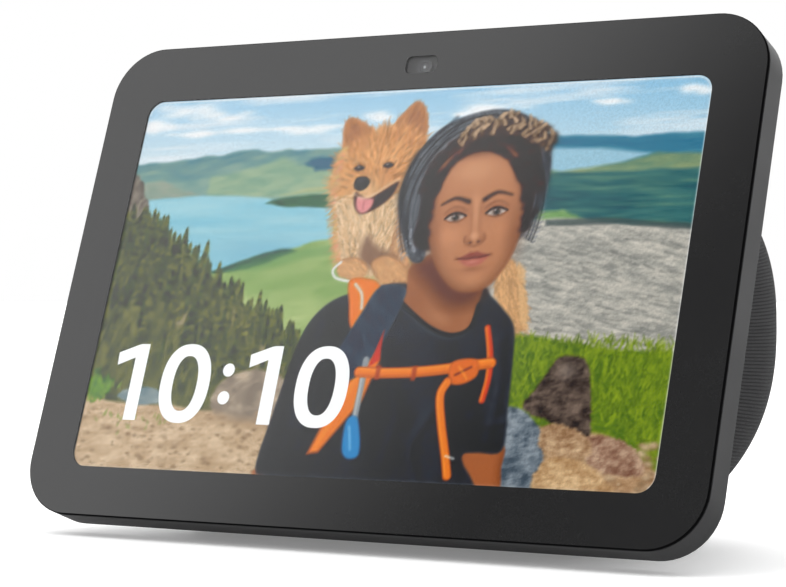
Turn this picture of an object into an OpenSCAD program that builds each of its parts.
// Table-top smart display: a tilted glass-fronted panel on a domed, fabric-covered speaker housing.
// Frame: +Z up, the screen faces -Y, X runs left to right, origin at the bottom centre of the body.

/* [Screen] */
// Width of the lit area
screen_w = 172.3; // [140:0.1:210]
// Height of the lit area
screen_h = 107.7; // [88:0.1:130]
// Corner radius of the lit area
screen_r = 4.7; // [1:0.1:8]
// Black margin at the left and right of the lit area
side_bezel = 13.85; // [11:0.05:20]
// Black margin above the lit area
top_bezel = 16.45; // [14.5:0.05:22]
// Black margin below the lit area
bottom_bezel = 13.55; // [11:0.05:20]

/* [Panel] */
// Depth of the panel from the glass to its back
panel_t = 11; // [10.5:0.1:14]
// Corner radius of the panel
corner_r = 15; // [8:0.5:20]
// Lean of the panel away from upright, in degrees
tilt = 20; // [14:0.5:26]
// Wall of the panel shell
shell_wall = 2; // [1.5:0.1:2.4]
// Thickness of the cover glass
glass_t = 1; // [0.7:0.05:1.3]

/* [Housing] */
// Depth of the whole body, front to back
body_depth = 106; // [92:0.5:128]
// Step from the panel's side to the side of the dome
dome_inset = 5; // [3:0.5:9]
// Height of the widest line of the dome above the table
dome_mid_z = 56.4; // [50:0.1:62]
// Drop from the panel's top edge to the top of the dome
dome_drop = 19; // [14:0.5:26]
// Thickness of the knitted cover
fabric_t = 1; // [0.6:0.1:1.4]
// Wall of the rear housing
housing_wall = 2.4; // [1.8:0.1:3]
// Thickness of the base cover
base_t = 3; // [2.5:0.1:4]
// Thickness of the rubber foot, which is also the gap under the panel
foot_t = 2; // [1.6:0.1:3]

/* [Sound] */
// Outer radius of a driver's flange
driver_r = 27; // [22:0.5:29]
// Turn of each driver's axis from straight back towards its side, in degrees
driver_turn = 39; // [32:1:44]
// Width of the rubber surround around a driver's cone
surround_w = 4.5; // [3:0.1:6]
// Travel of a cone each way from rest
cone_travel = 2; // [1:0.1:2.2]
// Outer radius of the passive radiator's frame
radiator_r = 22; // [18:0.5:24]
// Travel of the radiator plate each way from rest
radiator_travel = 2.5; // [1:0.1:3]

/* [Controls] */
// Length of a button along the top edge
button_l = 10; // [8:0.1:12.5]
// Width of a button across the top edge
button_w = 3.6; // [3:0.1:4.2]
// Height of a button above the top edge
button_rise = 0.6; // [0.3:0.1:1.2]
// Travel of a button
button_travel = 0.5; // [0.2:0.05:0.5]
// Radius of the camera lens
lens_r = 2.4; // [1.8:0.1:2.6]

/* [Power] */
// Radius of the socket's bore
socket_r = 2.85; // [2.4:0.05:3.3]
// Radius of the socket's centre pin
socket_pin_r = 1.05; // [0.8:0.05:1.2]

/* [Hidden] */
$fn = 48;

panel_w = screen_w + 2 * side_bezel;
panel_h = screen_h + top_bezel + bottom_bezel;
v_top = screen_h / 2 + top_bezel;        // panel's top edge above the screen's centre
v_bottom = -screen_h / 2 - bottom_bezel; // panel's bottom edge below the screen's centre
v_mid = (v_top + v_bottom) / 2;

// The screen's centre on the glass face, in the body frame
screen_y = -body_depth / 2 - v_bottom * sin(tilt);
screen_z = foot_t - v_bottom * cos(tilt) + panel_t * sin(tilt);

// Layers behind the glass, each as its distance from the glass face
clear = 0.3;                             // gap between parts that don't touch
ink_t = 0.1;
touch_w = glass_t + ink_t;
touch_t = 0.25;
cell_w = touch_w + touch_t;
cell_t = 1.3;
tray_w = cell_w + cell_t;
sheets_t = 0.4;
guide_t = 0.9;
tray_floor = 0.4;
gasket_w = tray_w + sheets_t + guide_t + tray_floor;
gasket_t = 0.65;
frame_w = gasket_w + gasket_t;
frame_t = 1.5;
shell_w = glass_t + 0.25;                // where the shell's side band starts
back_w = panel_t - shell_wall;           // inner face of the shell's back wall
adhesive_t = 0.3;

// Outline of the liquid crystal cell around the lit area
cell_side = 3.5;
cell_top = 1.6;
cell_bottom = 5;
cell_size = [screen_w + 2 * cell_side, screen_h + cell_top + cell_bottom];
cell_v = (cell_top - cell_bottom) / 2;
tray_wall = 0.6;

flex_us = [-30, 30];
cell_edge = cell_v - cell_size.y / 2;

// Bay along the panel's top edge for the camera, buttons and microphones
bay_half = screen_w / 2 - 12;
bay_v = screen_h / 2 + cell_top + 1;

// Camera and its shutter
camera_u = 1.4;
camera_v = screen_h / 2 + 7;
window_size = [9.6, 5];
blade_t = 0.3;
blade_w = touch_w + 0.25;
blade_size = [2 * lens_r + 1.2, 2 * lens_r + 1.2];
blade_u = camera_u - window_size.x / 2 - 0.2 - blade_size.x / 2;
shutter_travel = camera_u - blade_u;
knob_size = [7, 2.6];
knob_w = 4.2;
knob_rise = 0.9;
lens_w = blade_w + blade_t + 0.25;
holder_size = [8.5, 8.5];
holder_w = lens_w + 1;
camera_board_w = back_w - 0.9;

// Buttons
button_z = 6.2;                          // distance of the buttons' centres from the glass face
button_us = [30, 46, -38];               // volume up, volume down, mute
button_flange = 1;
flange_lip = 1.2;
board_v = v_top - shell_wall - 7.2;      // upper face of the button board
board_spans = [[(button_us[0] + button_us[1]) / 2, 32], [button_us[2] + 4, 28]];
switch_h = 1.6;
button_gap = 0.15;
stem_v = board_v + switch_h + 0.2 + button_travel + 0.1; // lower end of a button's stem
stem_r = 1;

// Microphones along the top wall
microphone_us = [-58, -20, 62, 16];
microphone_hole_r = 0.5;

// Dome of the rear housing
dome_half_w = panel_w / 2 - dome_inset;
dome_front_share = 43;                   // distance of the dome's centre behind the body's front
dome_y = dome_front_share - body_depth / 2;
dome_half_d = body_depth / 2 - dome_y;
dome_up = v_top * cos(tilt) + screen_z - dome_drop - dome_mid_z;
dome_down = dome_mid_z + 9.6;
plan_power = 2.75;                       // squareness of the dome seen from above
upper_power = 2.5;                       // squareness of its side view above the widest line
lower_power = 2.35;                      // and below it
dome_levels = 26;                        // rows of faces from the base to the top
dome_steps = 64;                         // faces round the cover and the housing
lip_h = 3;                               // height of the base's lip inside the housing
base_z = foot_t + base_t;                // where the housing and its cover start
housing_grow = -fabric_t;
cavity_grow = -fabric_t - housing_wall;

// Boards and the wall that closes the sound chamber
dome_v = (dome_mid_z - screen_z + panel_t * sin(tilt)) / cos(tilt);
opening_size = [2 * dome_half_w - 60, panel_h - 54];
opening_r = 12;
board_size = [104, 58];
board_w = panel_t + 3;
board_t = 1.6;
board_hole = [board_size.x / 2 - 5, board_size.y / 2 - 5];
can_t = 2.2;
pad_t = 0.5;
spreader_t = 1.4;
chamber_w = board_w + board_t + can_t + pad_t + spreader_t + 1.6;
chamber_t = 2.4;
screw_r = 1;
screw_head_r = 1.9;
screw_head_t = 1.3;

// Drivers, along their own axis: 0 is the flange's front and minus is towards the motor
driver_depth_in = 27;                    // from the dome's side to the driver's centre
flange_t = 2;
surround_gap = 0.3;
cone_r = driver_r - 4 - surround_w;
surround_r = (cone_r + driver_r - 4) / 2;
cone_deep = 7.5;
neck_r = 6.5;
plate_z = -13.5;
magnet_r = 14;
magnet_t = 3 + cone_travel;                // also the room behind the coil
iron_t = 2.2;
coil_r = 6.6;
coil_t = 0.5;
coil_gap = 0.35;
driver_x = dome_half_w - driver_depth_in;
driver_y = dome_y + 36 * (dome_half_d / 63);
driver_z = dome_mid_z;

// Passive radiator, facing straight back
radiator_y = dome_y + dome_half_d + cavity_grow - 3 - radiator_travel;
radiator_plate_r = radiator_r - 7.5;

// Power socket
socket_z = base_z + 12.5;
socket_body = [10, 13, 11];
hole_r = 7.6;                            // hole in the cover and the housing
port_r = 7.1;
plug_r = 4.6;
socket_clear = 5.342;                    // from the socket's lower corner to the housing's wall
socket_corner = [socket_body.x / 2, dome_y, socket_z - socket_body.z / 2];
socket_y = dome_y - socket_clear         // rear face of the socket's body
    + to_dome(socket_corner, [0, 1, 0], cavity_grow, 0, 2 * dome_half_d);

// ---------- shared shapes ----------

module rounded(size, r) {
    square([size.x - 2 * r, size.y], center = true);
    square([size.x, size.y - 2 * r], center = true);
    for (x = [-1, 1], y = [-1, 1])
        translate([x * (size.x / 2 - r), y * (size.y / 2 - r)]) circle(r);
}

// The panel's outline, moved in by inset, about the screen's centre
module outline(inset) {
    translate([0, v_mid])
        rounded([panel_w - 2 * inset, panel_h - 2 * inset], corner_r - inset);
}

// Everything on the panel is drawn from the glass face back, in this leaning frame
module on_panel() {
    translate([0, screen_y, screen_z]) rotate([-tilt, 0, 0]) children();
}

// A flat layer of a 2D outline, from distance w behind the glass face
module layer(w, t) {
    translate([0, w + t, 0]) rotate([90, 0, 0]) linear_extrude(t) children();
}

// A box on the panel: middle across, bottom edge, distance behind the glass; width, height, depth
module block(u, v, w, size) {
    translate([u - size.x / 2, w, v]) cube([size.x, size.z, size.y]);
}

// A round bar standing along the panel's up direction
module upright(u, v, w, r, h) {
    translate([u, w, v]) cylinder(r = r, h = h);
}

module screw(length, head_r = screw_head_r) {
    cylinder(r = head_r, h = screw_head_t);
    translate([0, 0, -length]) cylinder(r = screw_r, h = length + 0.1);
}

function along(a, b, t) = a + (b - a) * t;
function unit(v) = v / norm(v);

// Rings of a tube swept along a list of points
function tube_ring(p, d, r, sides) =
    let (side = unit(cross(d, abs(d.z) > 0.9 ? [1, 0, 0] : [0, 0, 1])), up = cross(side, d))
    [for (k = [0 : sides - 1]) p + r * (cos(360 * k / sides) * side + sin(360 * k / sides) * up)];

module tube(points, r, sides = 8) {
    n = len(points);
    rings = [for (i = [0 : n - 1])
        tube_ring(points[i], unit(points[min(i + 1, n - 1)] - points[max(i - 1, 0)]), r, sides)];
    polyhedron(
        points = [for (ring = rings) each ring],
        faces = concat(
            [[for (k = [sides - 1 : -1 : 0]) k]],
            [for (i = [0 : n - 2], k = [0 : sides - 1])
                let (a = i * sides + k, b = i * sides + (k + 1) % sides)
                each [[a, b, b + sides], [a, b + sides, a + sides]]],
            [[for (k = [0 : sides - 1]) (n - 1) * sides + k]]));
}

// ---------- the dome ----------

// Depth of the plane at distance w behind the glass, at height z
function plane_y(z, w) = screen_y + (z - screen_z) * tan(tilt) + w / cos(tilt);

// Share of the dome's full plan size that is left at height z
function section(z, grow) =
    let (
        power = z > dome_mid_z ? upper_power : lower_power,
        h = abs(z - dome_mid_z) / ((z > dome_mid_z ? dome_up : dome_down) + grow))
    h >= 1 ? 0 : pow(1 - pow(h, power), 1 / power);

// Half the dome's width at depth y and height z
function half_width(y, z, grow) =
    let (s = section(z, grow), d = s > 0 ? abs(y - dome_y) / ((dome_half_d + grow) * s) : 1)
    d >= 1 ? 0 : (dome_half_w + grow) * s * pow(1 - pow(d, plan_power), 1 / plan_power);

// Height where the rear of the dome meets the plane at distance w
function dome_top(grow, w, lo, hi, n = 30) =
    let (mid = (lo + hi) / 2)
    n == 0 ? lo
    : dome_y + (dome_half_d + grow) * section(mid, grow) > plane_y(mid, w)
        ? dome_top(grow, w, mid, hi, n - 1) : dome_top(grow, w, lo, mid, n - 1);

// Points round the dome at height z, from the plane at w on one side to the other side
function dome_arc(z, grow, w, steps) =
    let (
        s = section(z, grow), a = (dome_half_w + grow) * s, c = (dome_half_d + grow) * s,
        y = plane_y(z, w) - dome_y, start = atan2(y, half_width(y + dome_y, z, grow)))
    [for (k = [0 : steps]) let (
        t = start + (180 - 2 * start) * k / steps,
        r = pow(pow(abs(cos(t)) / a, plan_power) + pow(abs(sin(t)) / c, plan_power),
            -1 / plan_power))
        [r * cos(t), dome_y + r * sin(t), z]];

// Moves a point beside the power port on to the port's rim
function to_port(p, grow) =
    let (
        r = norm([p.x, p.z - socket_z]), x = p.x * hole_r / r,
        z = socket_z + (p.z - socket_z) * hole_r / r, s = section(z, grow))
    [x, dome_y + (dome_half_d + grow) * s
        * pow(1 - pow(abs(x) / ((dome_half_w + grow) * s), plan_power), 1 / plan_power), z];

// Rows of points of the dome from height z up, and its top point
function dome_rows(grow, w, z, steps) =
    let (top = dome_top(grow, w, dome_mid_z, dome_mid_z + dome_up + grow))
    concat(
        [for (j = [0 : dome_levels - 1]) let (
            t = j / dome_levels,
            arc = dome_arc(z + (top - z) * (0.55 * t + 0.45 * sin(90 * t)), grow, w, steps))
            each [for (k = [0 : steps])
                j > 0 && j < 5 && abs(k - steps / 2) < 2.1 ? to_port(arc[k], grow) : arc[k]]],
        [[0, plane_y(top, w), top]]);

// True where a face of the housing is left open for sound
function vented(j, k, c) =
    j % 2 == 1 && k % 2 == 1 && max([for (side = [-1, 0, 1])
        let (
            from = side == 0 ? [0, radiator_y, driver_z] : [side * driver_x, driver_y, driver_z],
            axis = side == 0 ? [0, 1, 0] : [side * sin(driver_turn), cos(driver_turn), 0],
            reach = side == 0 ? radiator_r - 4 : driver_r - 5)
        (c - from) * axis > 0 && norm(cross(c - from, axis)) < reach ? 1 : 0]) == 1;

// True where a face gives way to the power socket's port
function ported(j, k, steps) = j > 0 && j < 4 && abs(k + 0.5 - steps / 2) < 2;

// A shell between two dome surfaces, open towards the panel and below
module dome_shell(outer, inner, w, z, steps, vents) {
    row = steps + 1;
    half = dome_levels * row + 1;
    out = dome_rows(outer, w, z, steps);
    in = dome_rows(inner, w, z, steps);
    open = [for (j = [0 : dome_levels - 2]) [for (k = [0 : steps - 1])
        let (c = (out[j * row + k] + out[(j + 1) * row + k + 1]) / 2)
        ported(j, k, steps) || (vents && vented(j, k, c))]];
    polyhedron(
        points = concat(out, in),
        faces = concat(
            [for (j = [0 : dome_levels - 2], k = [0 : steps - 1])
                let (a = j * row + k, b = a + 1, c = a + row, d = c + 1)
                each open[j][k] ? [] : [
                    [a, c, b], [b, c, d],
                    [half + a, half + b, half + c], [half + b, half + d, half + c]]],
            [for (j = [0 : dome_levels - 2], k = [0 : steps - 1])
                let (a = j * row + k, b = a + 1, c = a + row, d = c + 1)
                each !open[j][k] ? [] : concat(
                    j > 0 && open[j - 1][k] ? [] : [[a, half + a, b], [b, half + a, half + b]],
                    open[j + 1][k] == true ? [] : [[c, d, half + c], [d, half + d, half + c]],
                    k > 0 && open[j][k - 1] ? [] : [[a, c, half + a], [c, half + c, half + a]],
                    open[j][k + 1] == true ? [] : [[b, half + b, d], [d, half + b, half + d]])],
            [for (k = [0 : steps - 1]) let (a = (dome_levels - 1) * row + k)
                each [[a, half - 1, a + 1], [half + a, half + a + 1, 2 * half - 1]]],
            [for (k = [0 : steps - 1]) each open[0][k] ? [] : [
                [k, k + 1, half + k], [k + 1, half + k + 1, half + k]]],
            [for (j = [0 : dome_levels - 2]) let (a = j * row, c = a + row)
                each [[a, half + a, c], [c, half + a, half + c]]],
            [for (j = [0 : dome_levels - 2]) let (a = j * row + steps, c = a + row)
                each [[a, c, half + a], [c, half + c, half + a]]],
            let (a = (dome_levels - 1) * row) [
                [a, half + a, half - 1], [half - 1, half + a, 2 * half - 1]],
            let (a = (dome_levels - 1) * row + steps) [
                [a, half - 1, half + a], [half - 1, 2 * half - 1, half + a]]));
}

// Whether a point is inside the dome
function inside_dome(p, grow) = abs(p.x) < half_width(p.y, p.z, grow);

// Distance from a point inside the dome to its surface along a direction
function to_dome(p, d, grow, lo = 0, hi = 60, n = 24) =
    let (mid = (lo + hi) / 2)
    n == 0 ? lo
    : inside_dome(p + mid * d, grow)
        ? to_dome(p, d, grow, mid, hi, n - 1) : to_dome(p, d, grow, lo, mid, n - 1);

// A ring about an axis, flat at its start and following the dome at its end
module ring_to_dome(from, axis, r_in, r_out, grow, steps = 48) {
    side = cross(axis, [0, 0, 1]);
    circles = [for (r = [r_in, r_out]) [for (k = [0 : steps - 1])
        from + r * (cos(360 * k / steps) * side + sin(360 * k / steps) * [0, 0, 1])]];
    points = concat(circles[0], circles[1],
        [for (c = circles, p = c) p + max(to_dome(p, axis, grow), 0.4) * axis]);
    polyhedron(points = points, faces = [for (k = [0 : steps - 1])
        let (
            a = k, b = (k + 1) % steps, c = steps + a, d = steps + b,
            e = 2 * steps + a, f = 2 * steps + b, g = 3 * steps + a, h = 3 * steps + b)
        each [[a, c, b], [b, c, d], [c, g, d], [d, g, h], [g, e, h], [h, e, f], [e, a, f], [f, a, b]]]);
}

// ---------- display stack ----------

module cover_glass() {
    color([0.05, 0.05, 0.06, 0.6]) on_panel() layer(0, glass_t) outline(0);
}

module camera_window() {
    translate([camera_u, camera_v]) rounded(window_size, 1.6);
}

module black_border() {
    color("black") on_panel() layer(glass_t, ink_t) difference() {
        outline(0.4);
        rounded([screen_w, screen_h], screen_r);
        camera_window();
    }
}

module touch_sensor() {
    color([0.6, 0.65, 0.7, 0.5]) on_panel() layer(touch_w, touch_t)
        rounded([screen_w + 2, screen_h + 2], screen_r);
}

module lcd_cell() {
    color([0.1, 0.12, 0.16]) on_panel() layer(cell_w, cell_t)
        translate([0, cell_v]) square(cell_size, center = true);
}

module diffuser_sheets() {
    color("white") on_panel() layer(tray_w, sheets_t) translate([0, cell_v])
        square(cell_size - [4, 4], center = true);
}

module light_guide() {
    color([0.8, 0.9, 0.95, 0.6]) on_panel() layer(tray_w + sheets_t, guide_t)
        translate([0, cell_v + 0.8]) square(cell_size - [4, 5.6], center = true);
}

module led_strip() {
    strip_v = cell_v - cell_size.y / 2 + 2;
    count = 24;
    color("khaki") on_panel() {
        block(0, strip_v, tray_w + sheets_t + guide_t - 0.2, [cell_size.x - 6, 1.4, 0.2]);
        for (i = [0 : count - 1])
            block(along(-1, 1, (i + 0.5) / count) * (cell_size.x / 2 - 4),
                strip_v + 0.2, tray_w + sheets_t, [3, 1, guide_t - 0.15]);
    }
}

module backlight_tray() {
    color("silver") on_panel() difference() {
        layer(tray_w, gasket_w - tray_w) translate([0, cell_v])
            square(cell_size - [1, 1], center = true);
        layer(tray_w - 1, gasket_w - tray_w - tray_floor + 1) translate([0, cell_v])
            square(cell_size - [1, 1] * (1 + 2 * tray_wall), center = true);
    }
}

module foam_gasket() {
    color("dimgray") on_panel() layer(gasket_w, gasket_t) translate([0, cell_v]) difference() {
        square(cell_size - [2, 2], center = true);
        square(cell_size - [12, 12], center = true);
    }
}

module bay() {
    translate([-bay_half, bay_v]) square([2 * bay_half, panel_h]);
}

module display_adhesive() {
    color("dimgray") on_panel() layer(touch_w, adhesive_t) difference() {
        outline(shell_wall + clear + 0.2);
        translate([0, cell_v]) square(cell_size + [2, 2], center = true);
        bay();
    }
}

module mid_frame() {
    post = board_w - frame_w - frame_t;
    color("gray") on_panel() {
        difference() {
            layer(touch_w + adhesive_t, frame_w + frame_t - touch_w - adhesive_t)
                outline(shell_wall + clear);
            layer(touch_w, frame_w - touch_w) translate([0, cell_v])
                square(cell_size + [1, 1], center = true);
            layer(touch_w, panel_t) bay();
            for (u = flex_us) layer(touch_w, panel_t)
                translate([u, cell_edge]) square([17.5, 6], center = true);
            for (x = [-1, 1]) layer(touch_w, panel_t)
                translate([x * screen_w / 4 + x * 8, v_mid - 2]) rounded([52, screen_h / 2], 8);
        }
        for (x = [-1, 1], y = [-1, 1])
            translate([x * board_hole.x, frame_w + frame_t, dome_v + y * board_hole.y])
                rotate([-90, 0, 0]) difference() {
                    translate([0, 0, -0.5]) cylinder(r = 3, h = post + 0.5);
                    cylinder(r = screw_r, h = post + 1);
                }
    }
}

module top_cut(u, w, size, r) {
    translate([u, w, v_top - shell_wall - 1]) linear_extrude(shell_wall + 2) rounded(size, r);
}

module panel_shell() {
    color("darkslategray") on_panel() difference() {
        layer(shell_w, panel_t - shell_w) outline(0);
        layer(shell_w - 1, back_w - shell_w + 1) outline(shell_wall);
        layer(back_w - 1, panel_t) translate([0, dome_v]) rounded(opening_size, opening_r);
        for (u = button_us)
            top_cut(u, button_z, [button_l, button_w] + 2 * [button_gap, button_gap],
                button_w / 2 + button_gap - 0.01);
        top_cut(blade_u + shutter_travel / 2, knob_w,
            knob_size + [shutter_travel + 0.6, 2 * button_gap], knob_size.y / 2 + button_gap - 0.01);
        for (u = microphone_us)
            upright(u, v_top - shell_wall - 1, button_z, microphone_hole_r, shell_wall + 2);
        upright(button_us[2] + button_l, v_top - shell_wall - 1, button_z, 0.65, shell_wall + 2);
    }
}

// Two ribbons from the display's lower edge, bent back to the main board
module display_flex() {
    thick = 0.2;
    start = tray_w - 0.4;
    back = frame_w + frame_t + 0.2;
    end = dome_v - board_size.y / 2 + 6;
    color("peru") on_panel() for (u = flex_us) {
        block(u, cell_edge - 1.4, start, [16, 1.4, thick]);
        block(u, cell_edge - 1.4, start, [16, thick, back + thick - start]);
        block(u, cell_edge - 1.4, back, [16, end - cell_edge + 1.4, thick]);
        block(u, end - thick, back, [16, thick, board_w - back]);
    }
}

// ---------- camera and shutter ----------

module camera_lens() {
    color([0.05, 0.05, 0.1]) on_panel() translate([camera_u, lens_w, camera_v]) rotate([-90, 0, 0])
        rotate_extrude() polygon([
            [0, 0.3], [lens_r * 0.45, 0.3], [lens_r * 0.6, 0.15], [lens_r, 0],
            [lens_r, 3.4], [0, 3.4]]);
}

module camera_holder() {
    color("dimgray") on_panel() difference() {
        block(camera_u, camera_v - holder_size.y / 2, holder_w,
            [holder_size.x, holder_size.y, camera_board_w - holder_w]);
        translate([camera_u, 0, camera_v]) rotate([-90, 0, 0])
            cylinder(r = lens_r, h = lens_w + 3.4);
    }
}

module camera_board() {
    color("darkgreen") on_panel()
        block(camera_u, camera_v - holder_size.y / 2 - 0.5, camera_board_w,
            [holder_size.x + 4, holder_size.y + 1, 0.6]);
}

module camera_flex() {
    thick = 0.2;
    start = camera_v - holder_size.y / 2 - 0.5;
    end = dome_v + board_size.y / 2 - 4;
    edge = camera_u + holder_size.x / 2 + 2;
    color("peru") on_panel() {
        block(edge + 7, start + 2, camera_board_w + 0.2, [14, 5, thick]);
        block(edge + 10, end, camera_board_w + 0.2, [8, start + 2 - end, thick]);
        block(edge + 10, end, camera_board_w + 0.2, [8, thick, board_w - camera_board_w - 0.2]);
    }
}

// The blade and the arm that carries it up to the knob
module shutter_blade() {
    arm_v = camera_v + blade_size.y / 2 - 0.6;
    color("whitesmoke") on_panel() {
        block(blade_u, camera_v - blade_size.y / 2, blade_w, [blade_size.x, blade_size.y, blade_t]);
        block(blade_u, arm_v, blade_w, [3, v_top - shell_wall - 0.4 - arm_v, blade_t]);
        block(blade_u, v_top - shell_wall - 1.2, blade_w,
            [3, 0.8, knob_w + knob_size.y / 2 - blade_w]);
    }
}

module shutter_knob() {
    color("darkslategray") on_panel() translate([blade_u, knob_w, v_top - shell_wall - 0.4]) {
        linear_extrude(shell_wall + 0.4 + knob_rise) rounded(knob_size, knob_size.y / 2 - 0.01);
    }
}

// ---------- buttons, microphones and small sensors ----------

module button(u) {
    cap = shell_wall + button_flange + 0.3 + button_rise;
    color("darkslategray") on_panel() translate([u, button_z, v_top - shell_wall - button_flange - 0.3]) {
        linear_extrude(cap) rounded([button_l, button_w], button_w / 2 - 0.01);
        linear_extrude(button_flange)
            rounded([button_l, button_w] + flange_lip * [1, 1], (button_w + flange_lip) / 2 - 0.01);
        translate([0, 0, stem_v - (v_top - shell_wall - button_flange - 0.3)])
            cylinder(r = stem_r, h = v_top - shell_wall - button_flange - stem_v - 0.1);
    }
}

module volume_up_button() { button(button_us[0]); }
module volume_down_button() { button(button_us[1]); }
module mute_button() { button(button_us[2]); }

module button_board() {
    color("darkgreen") on_panel() for (span = board_spans)
        block(span[0], board_v - 0.8, button_z - 2, [span[1], 0.8, back_w - button_z + 2]);
}

module tact_switches() {
    color("silver") on_panel() for (u = button_us) {
        block(u, board_v, button_z - 1.6, [4.4, switch_h - 0.3, 3.2]);
        upright(u, board_v + 0.5, button_z, 0.9, switch_h - 0.3);
    }
}

module mute_light_pipe() {
    color([0.9, 0.95, 1, 0.5]) on_panel()
        upright(button_us[2] + button_l, board_v, button_z, 0.6, v_top - board_v);
}

module microphones() {
    color("darkgreen") on_panel() for (u = microphone_us) {
        block(u, v_top - shell_wall - 2, button_z - 2, [6, 0.8, 4]);
        block(u, v_top - shell_wall - 2.9, button_z - 1.3, [3.6, 0.9, 2.6]);
    }
}

module microphone_gaskets() {
    color("black") on_panel() for (u = microphone_us) difference() {
        block(u, v_top - shell_wall - 1.2, button_z - 1.6, [4.4, 1.2, 3.2]);
        upright(u, v_top - shell_wall - 2, button_z, 0.7, 3);
    }
}

module light_sensor() {
    color("darkgreen") on_panel() {
        block(-12, camera_v - 1.5, touch_w + 1, [4.5, 3.4, 0.6]);
        block(-12, camera_v - 0.8, touch_w + 0.4, [2, 2, 0.6]);
    }
}

module wifi_antennas() {
    color("gold") on_panel() for (x = [-1, 1])
        block(x * (panel_w / 2 - shell_wall - 10), dome_v - 15, back_w - 0.4, [9, 30, 0.4]);
}

// ---------- main board ----------

module main_board() {
    color("darkgreen") on_panel() layer(board_w, board_t) translate([0, dome_v]) difference() {
        rounded(board_size, 3);
        for (x = [-1, 1], y = [-1, 1])
            translate([x * board_hole.x, y * board_hole.y]) circle(screw_r + 0.2);
    }
}

module board_chips() {
    color([0.12, 0.12, 0.12]) on_panel() {
        block(-16, dome_v - 8, board_w + board_t, [14, 14, 1.4]);
        block(16, dome_v - 6, board_w + board_t, [11, 13, 1.1]);
        for (x = [-34, -24, 24, 34])
            block(x, dome_v - board_size.y / 2 + 1.5, board_w - 1.4, [7, 3.5, 1.4]);
    }
}

module shield_cans() {
    can = 26;
    color("silver") on_panel() for (u = [-16, 16]) difference() {
        block(u, dome_v - can / 2 - 1, board_w + board_t, [can, can, can_t]);
        block(u, dome_v - can / 2 - 0.7, board_w + board_t - 1, [can - 0.6, can - 0.6, can_t + 0.7]);
    }
}

module thermal_pad() {
    color("lightpink") on_panel() for (u = [-16, 16])
        block(u, dome_v - 10, board_w + board_t + can_t, [18, 18, pad_t]);
}

module heat_spreader() {
    spreader_w = board_w + board_t + can_t + pad_t;
    color("lightgray") on_panel() layer(spreader_w, spreader_t) translate([0, dome_v]) difference() {
        rounded(board_size - [20, 8], 3);
        for (x = [-32 : 8 : 32]) translate([x, 20]) rounded([3, 6], 1.4);
    }
}

module board_screws() {
    color("silver") on_panel() for (x = [-1, 1], y = [-1, 1])
        translate([x * board_hole.x, board_w + board_t, dome_v + y * board_hole.y])
            rotate([-90, 0, 0]) screw(board_t + 4);
}

// ---------- rear housing ----------

// Places a child on a driver's axis, which points out through the housing
module at_driver(side) {
    translate([side * driver_x, driver_y, driver_z]) rotate([0, 0, -side * driver_turn])
        rotate([-90, 0, 0]) children();
}

module at_radiator() {
    translate([0, radiator_y, driver_z]) rotate([-90, 0, 0]) children();
}

module at_socket() {
    translate([0, 0, socket_z]) rotate([-90, 0, 0]) children();
}

module chamber_plate() {
    w_out = chamber_w + chamber_t;
    grow = cavity_grow - 0.3;
    low = (base_z + lip_h + 0.3 - screen_z + w_out * sin(tilt)) / cos(tilt);
    high = (dome_top(grow, w_out, dome_mid_z, dome_mid_z + dome_up + grow) - screen_z
        + w_out * sin(tilt)) / cos(tilt) - 1.5;
    side = [for (i = [0 : 36]) let (v = along(low, high, 0.4 * i / 36 + 0.6 * sin(90 * i / 36)))
        [min([for (w = [chamber_w, w_out]) half_width(
            screen_y + v * sin(tilt) + w * cos(tilt), screen_z + v * cos(tilt) - w * sin(tilt),
            grow)]), v]];
    color("dimgray") on_panel() layer(chamber_w, chamber_t)
        polygon(concat(side, [for (i = [36 : -1 : 0]) [-side[i].x, side[i].y]]));
}

module rear_housing() {
    color("dimgray") dome_shell(housing_grow, cavity_grow, panel_t, base_z, dome_steps, true);
}

module fabric_cover() {
    color([0.12, 0.12, 0.13]) dome_shell(0, housing_grow, panel_t, base_z, dome_steps, false);
}

// The floor, with a lip that clips inside the rear housing
module base_cover() {
    front = plane_y(base_z, panel_t) + 0.3;
    rim_z = foot_t + base_t * 0.5;
    lip = cavity_grow - 0.4;
    color("darkslategray") {
        translate([0, 0, foot_t]) linear_extrude(base_t) base_outline(rim_z, -0.2, front);
        translate([0, 0, base_z - 0.5]) linear_extrude(lip_h + 0.5) difference() {
            base_outline(base_z, lip, plane_y(base_z + lip_h, panel_t) + 0.3);
            base_outline(base_z, lip - 2, plane_y(base_z + lip_h, panel_t) + 2.3);
            translate([-socket_body.x / 2 - 1, dome_y]) square([socket_body.x + 2, body_depth]);
        }
    }
}

module base_outline(z, grow, front) {
    intersection() {
        polygon([for (p = dome_arc(z, grow, 0, 80)) [p.x, p.y]]);
        translate([-panel_w, front]) square(2 * panel_w);
    }
}

// The foot starts far enough behind the panel's lower edge to stay out of sight from the front
foot_front = 17;
foot_size = [2 * dome_half_w - 84, 50];
foot_y = -body_depth / 2 + panel_t * cos(tilt) + foot_front + foot_size.y / 2;

module rubber_foot() {
    color([0.15, 0.15, 0.15]) translate([0, foot_y, 0]) linear_extrude(foot_t)
        rounded(foot_size, 14);
}

// ---------- power socket ----------

module port_surround() {
    color("darkslategray")
        ring_to_dome([0, socket_y, socket_z], [0, 1, 0], plug_r, port_r, 0.5);
}

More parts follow.
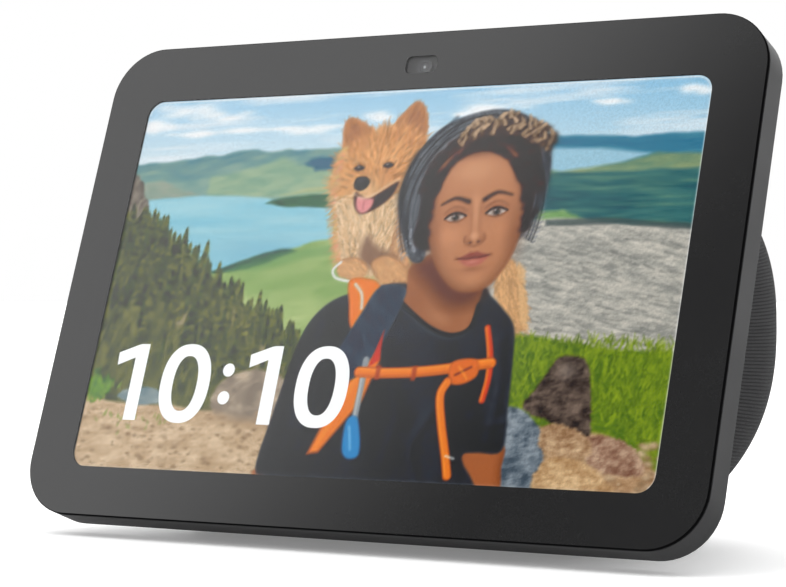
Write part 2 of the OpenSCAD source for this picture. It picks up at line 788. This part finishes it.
module power_socket() {
    color([0.1, 0.1, 0.1]) {
        difference() {
            translate([-socket_body.x / 2, socket_y - socket_body.y, socket_z - socket_body.z / 2])
                cube(socket_body);
            at_socket() translate([0, 0, socket_y - 9.5]) cylinder(r = socket_r, h = 10);
        }
        at_socket() translate([0, 0, socket_y - 10]) cylinder(r = socket_pin_r, h = 9);
        translate([-socket_body.x / 2, socket_y - socket_body.y, base_z])
            cube([socket_body.x, socket_body.y - 5, socket_z - socket_body.z / 2 - base_z]);
    }
}

// ---------- drivers ----------

module basket() {
    color([0.2, 0.2, 0.2]) difference() {
        rotate_extrude() polygon([
            [driver_r - 4, 0], [driver_r, 0], [driver_r, -flange_t], [driver_r - 3.5, -flange_t],
            [magnet_r, plate_z + 1.2], [magnet_r, plate_z], [coil_r + 3, plate_z],
            [coil_r + 3, plate_z + 1.2], [magnet_r - 1, plate_z + 1.2],
            [driver_r - 4.6, -flange_t], [driver_r - 4, -flange_t + 0.8]]);
        for (a = [0 : 60 : 300]) rotate([0, 0, a])
            translate([magnet_r + 4, 0, plate_z + 1.2 + 4.5]) rotate([0, 90, 0])
                cylinder(r = 3, h = driver_r);
        for (a = [45 : 90 : 315]) rotate([0, 0, a])
            translate([driver_r - 1.75, 0, -flange_t - 1]) cylinder(r = screw_r + 0.05, h = flange_t + 2);
    }
}

module motor() {
    color("gray") {
        translate([0, 0, plate_z - iron_t]) difference() {
            cylinder(r = magnet_r, h = iron_t);
            translate([0, 0, -1]) cylinder(r = coil_r + coil_t + coil_gap, h = iron_t + 2);
        }
        translate([0, 0, plate_z - iron_t - magnet_t]) difference() {
            cylinder(r = magnet_r, h = magnet_t);
            translate([0, 0, -1]) cylinder(r = coil_r + 3, h = magnet_t + 2);
        }
        translate([0, 0, plate_z - 2 * iron_t - magnet_t]) cylinder(r = magnet_r, h = iron_t);
        translate([0, 0, plate_z - iron_t - magnet_t - 0.1])
            cylinder(r = coil_r - coil_gap, h = iron_t + magnet_t + 0.1);
    }
}

// A half-round roll with a flat lip on the flange
module surround() {
    roll = (driver_r - 4 - cone_r - surround_gap) / 2;
    color([0.1, 0.1, 0.1]) translate([0, 0, -0.6]) rotate_extrude() {
        translate([surround_r + surround_gap / 2, 0]) intersection() {
            difference() {
                circle(roll);
                circle(roll - 0.6);
            }
            translate([-roll, 0]) square(2 * roll);
        }
    }
}

module cone() {
    edge_z = -1;
    color([0.25, 0.25, 0.26]) rotate_extrude() polygon([
        [0, edge_z - cone_deep + 3.2], [neck_r * 0.6, edge_z - cone_deep + 2.6],
        [neck_r + 1.2, edge_z - cone_deep + 1], [cone_r, edge_z], [cone_r, edge_z - 0.5],
        [neck_r + 0.8, edge_z - cone_deep], [coil_r, edge_z - cone_deep],
        [coil_r, edge_z - cone_deep + 0.7], [neck_r * 0.6, edge_z - cone_deep + 2.1],
        [0, edge_z - cone_deep + 2.7]]);
}

module coil() {
    color("sandybrown") translate([0, 0, plate_z - iron_t - 1]) difference() {
        cylinder(r = coil_r + coil_t, h = -8.5 - plate_z + iron_t + 1);
        translate([0, 0, -1]) cylinder(r = coil_r, h = 20);
    }
}

// A seat welded inside the housing, which the driver's flange is screwed to
module seat(side) {
    color("dimgray") ring_to_dome([side * driver_x, driver_y, driver_z],
        [side * sin(driver_turn), cos(driver_turn), 0], driver_r - 4, driver_r, cavity_grow - 0.2);
}

module seat_left() { seat(-1); }
module seat_right() { seat(1); }
module basket_left() { at_driver(-1) basket(); }
module motor_left() { at_driver(-1) motor(); }
module surround_left() { at_driver(-1) surround(); }
module cone_left() { at_driver(-1) cone(); }
module coil_left() { at_driver(-1) coil(); }
module basket_right() { at_driver(1) basket(); }
module motor_right() { at_driver(1) motor(); }
module surround_right() { at_driver(1) surround(); }
module cone_right() { at_driver(1) cone(); }
module coil_right() { at_driver(1) coil(); }

module driver_screws() {
    color("silver") for (side = [-1, 1]) at_driver(side) for (a = [45 : 90 : 315])
        rotate([0, 0, a]) translate([driver_r - 1.75, 0, -flange_t]) rotate([180, 0, 0])
            screw(flange_t + 1.6, 1.55);
}

module radiator_frame() {
    color([0.2, 0.2, 0.2]) ring_to_dome([0, radiator_y - 3, driver_z], [0, 1, 0],
        radiator_r - 2.5, radiator_r, cavity_grow - 0.2);
}

module radiator_surround() {
    roll = (radiator_r - 2.6 - radiator_plate_r - surround_gap) / 2;
    color([0.1, 0.1, 0.1]) at_radiator() translate([0, 0, -2.2]) rotate_extrude()
        translate([radiator_plate_r + surround_gap + roll, 0]) intersection() {
            difference() {
                circle(roll);
                circle(roll - 0.7);
            }
            translate([-roll, 0]) square(2 * roll);
        }
}

module radiator_plate() {
    color([0.3, 0.3, 0.32]) at_radiator() translate([0, 0, -3.4]) {
        cylinder(r = radiator_plate_r, h = 1.2);
        translate([0, 0, -2]) cylinder(r = radiator_plate_r * 0.6, h = 2);
    }
}

// ---------- leads ----------

module speaker_leads() {
    color("firebrick") for (side = [-1, 1]) tube([
        [side * 18, plane_y(30, chamber_w + chamber_t), 30],
        [side * 30, plane_y(30, chamber_w + chamber_t) + 7, 30],
        [side * (driver_x - 16), driver_y - 16, driver_z - 25],
        [side * (driver_x - 5), driver_y - 5, driver_z - 20.3]], 0.7);
}

module power_lead() {
    color("black") tube([
        [0, socket_y - socket_body.y, socket_z],
        [0, socket_y - socket_body.y - 8, socket_z - 1],
        [7, along(socket_y - socket_body.y, plane_y(20, chamber_w + chamber_t), 0.7), 17],
        [9, plane_y(20, chamber_w + chamber_t), 20]], 1.1);
}

cover_glass();
black_border();
touch_sensor();
lcd_cell();
diffuser_sheets();
light_guide();
led_strip();
backlight_tray();
foam_gasket();
display_adhesive();
mid_frame();
panel_shell();
display_flex();
camera_holder();
camera_lens();
camera_board();
camera_flex();
shutter_blade();
shutter_knob();
volume_up_button();
volume_down_button();
mute_button();
button_board();
tact_switches();
mute_light_pipe();
microphones();
microphone_gaskets();
light_sensor();
wifi_antennas();
main_board();
board_chips();
shield_cans();
thermal_pad();
heat_spreader();
board_screws();
chamber_plate();
rear_housing();
fabric_cover();
base_cover();
rubber_foot();
port_surround();
power_socket();
seat_left();
basket_left();
motor_left();
surround_left();
cone_left();
coil_left();
seat_right();
basket_right();
motor_right();
surround_right();
cone_right();
coil_right();
driver_screws();
radiator_frame();
radiator_surround();
radiator_plate();
speaker_leads();
power_lead();
